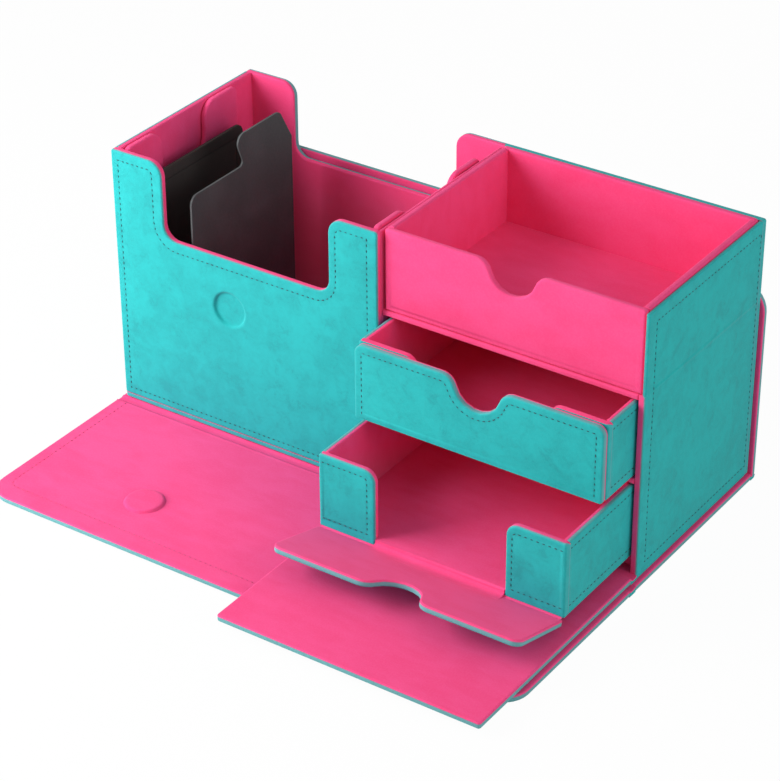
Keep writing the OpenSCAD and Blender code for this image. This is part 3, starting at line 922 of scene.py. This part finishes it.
def drawer(level):
    """A drawer's boards: tabs at the front, sides, back and floor."""
    (x0, y0, z0), (x1, y1, _) = span(level + "_floor")
    z1 = span(level + "_back")[1][2]
    t, lip = DRAWER_T, 0.1
    foot, top, plain = (THROUGH, 4.0), (DRAWER_WRAP, 3.2), (THROUGH, 0)
    tab_top = (LINED, 0) if level == "upper" else (0.9, 3.2)

    def part(name, rows, put, nodes=(), radius=0.8, back_radius=0.5):
        nodes = [level + node for node in nodes]
        radii = dict(radius=radius, back_radius=back_radius)
        board(level + name, level + "_drawer", rows, put, t, nodes, **radii)

    tab = box_rows(x0, z0, x0 + TAB_W, z1, [foot, (0.9, 3.4), tab_top, plain], (0.8, 1.0, 5.0, 1.2))
    part("_left_tab", tab, plane("xz", y0, 1), ["_tabs"])
    tab = box_rows(x1 - TAB_W, z0, x1, z1, [foot, plain, tab_top, (0.9, 2.6)], (1.0, 0.8, 1.2, 5.0))
    part("_right_tab", tab, plane("xz", y0, 1))
    side = box_rows(y0 + t, z0, y1 - t, z1, [foot, (0, 0), top, (0, 0)])
    part("_left_side", side, plane("yz", x0, 1), ["_sides"])
    part("_right_side", side, plane("yz", x1, -1))
    rear = box_rows(x0, z0, x1, z1, [foot, plain, top, plain], (0.8, 0.8, 1.2, 1.2))
    part("_rear", rear, plane("xz", y1, -1), ["_back"])
    bottom = [
        (x0 + t, y0 + t, 0.3, 0, 0),
        (x0 + TAB_W, y0 + t, 0.3, 0, 0),
        (x0 + TAB_W + lip, y0 + lip, 0.3, LINED, 0),
        (x1 - TAB_W - lip, y0 + lip, 0.3, 0, 0),
        (x1 - TAB_W, y0 + t, 0.3, 0, 0),
        (x1 - t, y0 + t, 0.3, 0, 0),
        (x1 - t, y1 - t, 0.3, 0, 0),
        (x0 + t, y1 - t, 0.3, 0, 0),
    ]
    part("_bottom", bottom, plane("xy", z0, 1), ["_floor", "_lining"], 0.7, 0.9)


def flap(level, opened):
    """A drawer's fold-down front with its finger notch, turned down by opened degrees."""
    (x0, y0, z0), (x1, _, _) = span(level + "_floor")
    hinge, low, high = y0 - FLAP_ROOM, z0 + FLAP_ROOM, z0 + FLAP_HEIGHT[level]
    turn = (
        Matrix.Translation((0, hinge, z0))
        @ Matrix.Rotation(math.radians(opened), 4, "X")
        @ Matrix.Translation((0, -hinge, -z0))
    )
    rows = (
        [(x0, low, 0.8, LINED, 0), (x1, low, 0.8, FLAP_WRAP, 3.2), (x1, high, 4.0, FLAP_WRAP, 3.2)]
        + notch_rows((x0 + x1) / 2, high, FLAP_WRAP, 3.2)
        + [(x0, high, 4.0, FLAP_WRAP, 3.2)]
    )
    board(
        level + "_drop_front",
        level + "_drawer_flap",
        rows,
        plane("xz", hinge - DRAWER_T, 1),
        DRAWER_T,
        replaces=(level + "_flap", level + "_flap_lining"),
        radius=0.9,
        back_radius=0.6,
        turn=turn,
    )
    return turn, hinge, z0, x0, x1


drawer("upper")
drawer("lower")
UPPER_FLAP = flap("upper", 0)
LOWER_FLAP = flap("lower", LOWER_FLAP_OPEN)

# -------- loose boards in the bay

# The thumb cut-out of a spacer: half its width, its depth and the radius of its shoulders
THUMB_HALF, THUMB_DEPTH, THUMB_SHOULDER = 13.8, 26.0, 7.0

# The tab of the grey divider: its height, its top corners' radius, and how far from the board's
# back edge its foot and the ends of its top lie
TAB_RISE, TAB_R = 13.8, 4.0
TAB_FOOT, TAB_TOP_NEAR, TAB_TOP_FAR = 31.7, 7.7, 37.2


def spacer(side):
    """A pink board with a deep thumb cut-out in its top."""
    (x0, y0, z0), (x1, y1, z1) = span("spacer_" + side)
    low, high = (y0 + y1) / 2 - THUMB_HALF, (y0 + y1) / 2 + THUMB_HALF
    floor_z, floor_r = z1 - THUMB_DEPTH, THUMB_HALF - 0.02
    rows = [
        (y0, z0, 0.8, 1, 0),
        (y1, z0, 0.8, 1, 0),
        (y1, z1, 3.0, 1, 0),
        (high, z1, THUMB_SHOULDER, 1, 0),
        (high, floor_z, floor_r, 1, 0),
        (low, floor_z, floor_r, 1, 0),
        (low, z1, THUMB_SHOULDER, 1, 0),
        (y0, z1, 3.0, 1, 0),
    ]
    names = side + "_spacer_board", side + "_spacer"
    pink_board(*names, rows, plane("yz", x0, 1), x1 - x0, ("spacer_" + side,), radius=0.8)


spacer("left")
spacer("right")


def divider(name, kind, rows, slot, finish, radius, **more):
    """A loose divider with one finish all round."""
    (x0, _, _), (x1, _, _) = span("divider_" + kind)
    looks = (slot, radius, radius, finish, finish)
    put, replaces = plane("yz", x1, -1), ("divider_" + kind,)
    board(name, kind + "_divider", rows, put, x1 - x0, replaces, *looks, **more)


(_, low_y, low_z), (_, high_y, high_z) = span("divider_plain")
rows = box_rows(low_y, low_z, high_y, high_z, [(1, -5.0)] * 4, (1.0, 1.0, 4.0, 4.0))
pressing = dict(seam_depth=PRESSED_DEPTH, border=0.5)
divider("plain_divider_board", "plain", rows, "black_board", BLACK, 0.5, **pressing)

(_, low_y, low_z), (_, high_y, high_z) = span("divider_tab")
rows = [
    (low_y, low_z, 1.0, 1, 0),
    (high_y, low_z, 1.0, 1, 0),
    (high_y, high_z - TAB_RISE, 1.0, 1, 0),
    (high_y - TAB_TOP_NEAR, high_z, TAB_R, 1, 0),
    (high_y - TAB_TOP_FAR, high_z, TAB_R, 1, 0),
    (high_y - TAB_FOOT, high_z - TAB_RISE, 2.0, 1, 0),
    (low_y, high_z - TAB_RISE, 4.0, 1, 0),
]
divider("tab_divider_sheet", "tab", rows, "grey_board", GREY, 0.25)

# -------- soft folds


def evened(line, count):
    """The same (y, z) line with count points at even steps."""
    steps = [0.0]
    for (ya, za), (yb, zb) in zip(line, line[1:]):
        steps.append(steps[-1] + math.hypot(yb - ya, zb - za))
    out = []
    for k in range(count):
        at = steps[-1] * k / (count - 1)
        i = max(j for j in range(len(line) - 1) if steps[j] <= at + 1e-9)
        t = (at - steps[i]) / max(steps[i + 1] - steps[i], 1e-9)
        out.append(tuple(a + (b - a) * t for a, b in zip(line[i], line[i + 1])))
    return out


def fold(name, skin, lining, x0, x1, start, end, replaces=(), slot=TEAL):
    """A strip across a joint: its outer skin and its lining as (y, z) points."""
    count, columns, skin_share = 17, 9, 0.3
    skin, lining = evened(skin, count), evened(lining, count)
    section = skin + lining[::-1]
    size = len(section)
    outside = 0 if slot == TEAL else 1
    verts, faces = [], []
    for c in range(columns):
        x = x0 + (x1 - x0) * c / (columns - 1)
        verts += [Vector((x, y, z)) for y, z in section]
    for c in range(columns - 1):
        finishes = [1 if count - 1 <= k < size - 1 else outside for k in range(size)]
        strip = bands([c * size, (c + 1) * size], size)
        faces += [(points, finish) for (points, _), finish in zip(strip, finishes)]
    for x, first in ((x0, 0), (x1, (columns - 1) * size)):
        middle = len(verts)
        for (skin_y, skin_z), (lining_y, lining_z) in zip(skin, lining):
            y = skin_y * skin_share + lining_y * (1 - skin_share)
            verts.append(Vector((x, y, skin_z * skin_share + lining_z * (1 - skin_share))))
        for k in range(count - 1):
            faces.append(((first + k, first + k + 1, middle + k + 1, middle + k), outside, "flat"))
            top = first + size - 1 - k
            faces.append(((middle + k, middle + k + 1, top - 1, top), 1, "flat"))
    piece = finish_piece(name, verts, faces, None, slot, (SUEDE, LINING), {}, replaces)
    [v * MM for v in start]
    [v * MM for v in end]
    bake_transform(piece)


def curve(points, steps=5):
    """A smooth line through (y, z) points."""

    def between(a, b, c, d, t):
        square, cube = 2 * a - 5 * b + 4 * c - d, 3 * b - a - 3 * c + d
        return 0.5 * (2 * b + (c - a) * t + square * t * t + cube * t**3)

    padded = points[:1] + points + points[-1:]
    out = []
    for four in zip(padded, padded[1:], padded[2:], padded[3:]):
        for k in range(steps):
            out.append(tuple(between(*places, k / steps) for places in zip(*four)))
    return out + [points[-1]]


# How far a fold reaches under the boards that it joins, and how far it stays inside their faces
OVERLAP, HAIR = 0.1, 0.02

FOLD_Y = span("cover_front_fold")[0][1]
fold(
    "cover_front_soft_fold",
    curve([(Y0 + OVERLAP, HAIR), (FOLD_Y + 1.5, HAIR), (fy1 - OVERLAP, HAIR)]),
    curve(
        [
            (Y0 + OVERLAP, COVER_TOP - HAIR),
            (Y0 - 1.2, 2.3),
            (FOLD_Y, 2.25),
            (fy1 + 0.6, 2.6),
            (fy1 - OVERLAP, COVER_TOP - HAIR),
        ]
    ),
    cx0 + HAIR,
    cx1 - HAIR,
    (0, Y0, 0),
    (0, fy1, 0),
    replaces=("cover_front_fold",),
)
BACK_FOLD_Y = span("cover_back_fold")[1][1]
fold(
    "cover_back_soft_fold",
    curve(
        [(Y1 - OVERLAP, HAIR), (Y1 + 1.6, HAIR), (BACK_FOLD_Y - 0.45, 0.28), (BACK_FOLD_Y, 1.3)], 6
    ),
    curve([(Y1 - OVERLAP, 2.5), (Y1 + 0.2, 2.1), (Y1 + 0.5, 1.9), (Y1 + 0.7, 1.4)], 6),
    cx0 + HAIR,
    cx1 - HAIR,
    (0, Y1, 0),
    (0, BACK_FOLD_Y, 1.2),
    replaces=("cover_back_fold",),
)
UNDER = FOOT + HAIR
fold(
    "door_soft_fold",
    curve([(CABINET_FRONT + OVERLAP, UNDER), (Y0 + 1.0, UNDER), (dy1 - OVERLAP, UNDER)]),
    curve(
        [
            (CABINET_FRONT + OVERLAP, BASE_TOP - 0.05),
            (CABINET_FRONT - 1.2, BASE_TOP - 0.5),
            (Y0, BASE_TOP - 0.35),
            (dy1 - OVERLAP, DOOR_TOP - HAIR),
        ]
    ),
    dx0 + HAIR,
    dx1 - HAIR,
    (0, CABINET_FRONT, FOOT),
    (0, dy1, FOOT),
    replaces=("door_fold",),
)

# The lining's ramp from a drawer's floor into its front, as (y, z) from the hinge: the points that
# stay with the drawer and those that turn with the front, of the seen face and of the hidden one
RAMPS = {
    "upper": (
        ([(2.8, 2.84), (1.4, 2.86), (0.5, 3.0)], [(0.12, 3.8), (0.03, 4.8)]),
        ([(2.8, 2.2), (1.0, 2.2), (0.1, 2.5)], [(-0.4, 3.6), (-0.5, 4.6)]),
    ),
    "lower": (
        ([(2.8, 2.84), (1.9, 2.7), (0.7, 1.9), (-0.3, 0.95)], [(0.16, 2.2), (0.03, 4.4)]),
        ([(2.8, 2.2), (1.5, 1.6), (0.2, 0.5)], [(-0.3, 1.4), (-0.5, 2.6), (-0.5, 4.2)]),
    ),
}


def flap_fold(level, turn, hinge, z0, x0, x1):
    """The strip that carries a drop front, and the lining that runs into it from the drawer."""

    def line(still, turning):
        places = [turn @ Vector((0, hinge + y, z0 + z)) for y, z in turning]
        return [(hinge + y, z0 + z) for y, z in still] + [(place.y, place.z) for place in places]

    joined = (level + "_drawer", level + "_drawer_flap")
    start, end = ((0, *point) for point in line([(0.5, 0.1)], [(-0.1, 0.8)]))
    skin = curve(line([(1.4, 0.06), (0.5, 0.06)], [(-0.25, 0.12), (-0.35, 0.9)]), 3)
    lining = curve(line([(1.4, 0.4), (0.45, 0.45)], [(-0.02, 0.5), (-0.05, 0.95)]), 3)
    fold(level + "_flap_soft_fold", skin, lining, x0 + 1.0, x1 - 1.0, start, end)
    top, under = (curve(line(*points), 4) for points in RAMPS[level])
    x0, x1 = x0 + TAB_W + 0.15, x1 - TAB_W - 0.15
    fold(level + "_flap_lining_fold", under, top, x0, x1, start, end, slot=PINK)


flap_fold("upper", *UPPER_FLAP)
flap_fold("lower", *LOWER_FLAP)

# -------- stitches


def stitch_tree():
    """Geometry nodes that lay one small stitch after another along the rows."""
    tree = bpy.data.node_groups.new("stitch_rows", "GeometryNodeTree")
    face, sewing = tree.interface, Nodes(tree)
    face.new_socket("Rows", in_out="INPUT", socket_type="NodeSocketGeometry")
    sizes = {"Pitch": STITCH_PITCH, "Stitch length": STITCH_LENGTH, "Thread width": THREAD}
    for label, value in sizes.items():
        socket = face.new_socket(label, in_out="INPUT", socket_type="NodeSocketFloat")
        socket.default_value = value * MM
    face.new_socket("Thread", in_out="INPUT", socket_type="NodeSocketMaterial")
    face.new_socket("Stitches", in_out="OUTPUT", socket_type="NodeSocketGeometry")

    given = sewing.node("NodeGroupInput", output="Rows")
    rows = sewing.node("GeometryNodeMeshToCurve", {}, {"Mesh": given})
    spacing = {"Curve": rows, "Length": given.beside("Pitch")}
    points = sewing.node("GeometryNodeCurveToPoints", {"mode": "LENGTH"}, spacing)
    along = {"Vector": points.beside("Tangent")}
    aligned = sewing.node("FunctionNodeAlignRotationToVector", {"axis": "Z"}, along)
    tilts = {0: (-STITCH_TILT,) * 3, 1: (STITCH_TILT,) * 3, "Seed": 11}
    tilt = sewing.node("FunctionNodeRandomValue", {"data_type": "FLOAT_VECTOR"}, tilts)
    local = {"rotation_space": "LOCAL"}
    tilted = sewing.node("FunctionNodeRotateRotation", local, {0: aligned, 1: tilt})
    ball = sewing.node("GeometryNodeMeshUVSphere", {}, {"Segments": 6, "Rings": 5, "Radius": 0.5})
    width, long = given.beside("Thread width"), given.beside("Stitch length")
    size = sewing.node("ShaderNodeCombineXYZ", {}, {"X": width, "Y": width, "Z": long})
    stitch = sewing.node("GeometryNodeTransform", {}, {"Geometry": ball, "Scale": size})
    lengths = {2: STITCH_SHORTEST, 3: STITCH_LONGEST, "Seed": 5}
    length = sewing.node("FunctionNodeRandomValue", {"data_type": "FLOAT"}, lengths, output=1)
    placed = {"Points": points, "Instance": stitch, "Rotation": tilted, "Scale": length}
    laid = sewing.node("GeometryNodeInstanceOnPoints", {}, placed)
    whole = sewing.node("GeometryNodeRealizeInstances", {}, {"Geometry": laid})
    smooth = sewing.node("GeometryNodeSetShadeSmooth", {}, {"Geometry": whole})
    dye = {"Geometry": smooth, "Material": given.beside("Thread")}
    dyed = sewing.node("GeometryNodeSetMaterial", {}, dye)
    sewing.node("NodeGroupOutput", {}, {"Stitches": dyed})
    return tree


def stitches():
    """All rows of one thread on one body become one plain mesh."""
    tree = stitch_tree()
    sockets = {item.name: item.identifier for item in tree.interface.items_tree}
    for (body, colour), rows in sorted(SEWN_ROWS.items()):
        verts, edges = [], []
        for points, flags in rows:
            start = len(verts)
            verts += [p * MM for p in points]
            steps = [(k, (k + 1) % len(points)) for k, sewn in enumerate(flags) if sewn]
            edges += [(start + k, start + n) for k, n in steps]
        mesh = bpy.data.meshes.new("rows")
        mesh.from_pydata(verts, edges, [])
        guide = added("rows", mesh)
        modifier = guide.modifiers.new("sew", "NODES")
        modifier.node_group = tree
        share = PINK_THREAD_SHARE if colour == "pink" else 1.0
        modifier[sockets["Pitch"]] = STITCH_PITCH * MM
        modifier[sockets["Stitch length"]] = STITCH_LENGTH * MM
        modifier[sockets["Thread width"]] = THREAD * MM * share
        modifier[sockets["Thread"]] = TEAL_THREAD if colour == "teal" else PINK_THREAD
        bpy.context.view_layer.update()
        graph = bpy.context.evaluated_depsgraph_get()
        sewn = bpy.data.meshes.new_from_object(guide.evaluated_get(graph), depsgraph=graph)
        bpy.data.objects.remove(guide)
        piece = added(f"stitches_{body}_{colour}", sewn)
        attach(piece, body)
        TEAL if colour == "teal" else PINK


stitches()

# -------- solids that stay as packed

KEPT = {"lining_floor": LINING, "case_magnet": MAGNET}
for node, material in KEPT.items():
    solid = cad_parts[node]
    solid.data.materials.clear()
    solid.data.materials.append(material)

# -------- floor, light and camera

# The studio, in metres, watts and degrees
FLOOR_HALF = 6.0
FLOOR_BELOW = 0.0003
FLOOR_GREY = 0.86
BACKDROP_SHARE = 0.97
SKY_LIGHT = 0.34
PHOTO_LENS = 125.36
PHOTO_PLACE = (0.5065, -0.7653, 0.5814)
PHOTO_AZIMUTH, PHOTO_ELEVATION, PHOTO_ROLL = 34.48, 31.32, -0.31


def floor():
    """A pale floor that keeps a soft shadow."""
    mesh = bpy.data.meshes.new("floor")
    corners = [(-1, -1), (1, -1), (1, 1), (-1, 1)]
    mesh.from_pydata([(x * FLOOR_HALF, y * FLOOR_HALF, 0) for x, y in corners], [], [(0, 1, 2, 3)])
    piece = added("floor", mesh)
    piece.location.z = -FLOOR_BELOW
    f = Finish("pale_floor", Roughness=0.9, Specular_IOR_Level=0.1)
    f.shader.inputs["Base Color"].default_value = (FLOOR_GREY, FLOOR_GREY, FLOOR_GREY, 1)
    glow, lit = f.white("ShaderNodeEmission", 1.0), Amount(f, f.shader.outputs[0])
    f.show("Material Output", f.backdrop_rays() * BACKDROP_SHARE, lit, glow)
    mesh.materials.append(f.material)


def sky():
    """White to the eye and to gloss, softer as light."""
    world = bpy.data.worlds.new("studio")
    bpy.context.scene.world = world
    world.use_nodes = True
    nodes = Nodes(world.node_tree)
    soft, full = (nodes.white("ShaderNodeBackground", light) for light in (SKY_LIGHT, 1.0))
    nodes.show("World Output", nodes.backdrop_rays(), soft, full)


def softbox(name, place, target, size, power):
    """A square soft lamp at a place, turned to its target."""
    light = bpy.data.lights.new(name, "AREA")
    light.shape = "SQUARE"
    light.size = size
    light.energy = power
    lamp = added(name, light)
    lamp.location = place
    lamp.rotation_euler = (Vector(target) - Vector(place)).to_track_quat("-Z", "Y").to_euler()


def camera():
    """Stands where the photograph was taken from."""
    view = bpy.data.cameras.new("photo_view")
    view.sensor_fit = "HORIZONTAL"
    view.sensor_width = 36.0
    view.lens = PHOTO_LENS
    view.clip_end = 20
    lens = added("photo_view", view)
    azimuth, elevation, roll = map(math.radians, (PHOTO_AZIMUTH, PHOTO_ELEVATION, PHOTO_ROLL))
    level = math.cos(elevation)
    back = Vector((math.sin(azimuth) * level, -math.cos(azimuth) * level, math.sin(elevation)))
    right = (-back).cross(Vector((0, 0, 1))).normalized()
    up = right.cross(-back)
    x = right * math.cos(roll) + up * math.sin(roll)
    y = up * math.cos(roll) - right * math.sin(roll)
    turn = Matrix((x, y, back)).transposed().to_4x4()
    lens.matrix_world = Matrix.Translation(PHOTO_PLACE) @ turn
    bpy.context.scene.camera = lens


floor()
sky()
softbox("key", place=(-0.42, -0.38, 0.3), target=(-0.04, -0.05, 0.05), size=0.45, power=4.9)
softbox("side", place=(1.25, -0.1, 0.55), target=(0, 0, 0.05), size=0.8, power=5.3)
camera()
bpy.context.scene.view_settings.view_transform = "Standard"
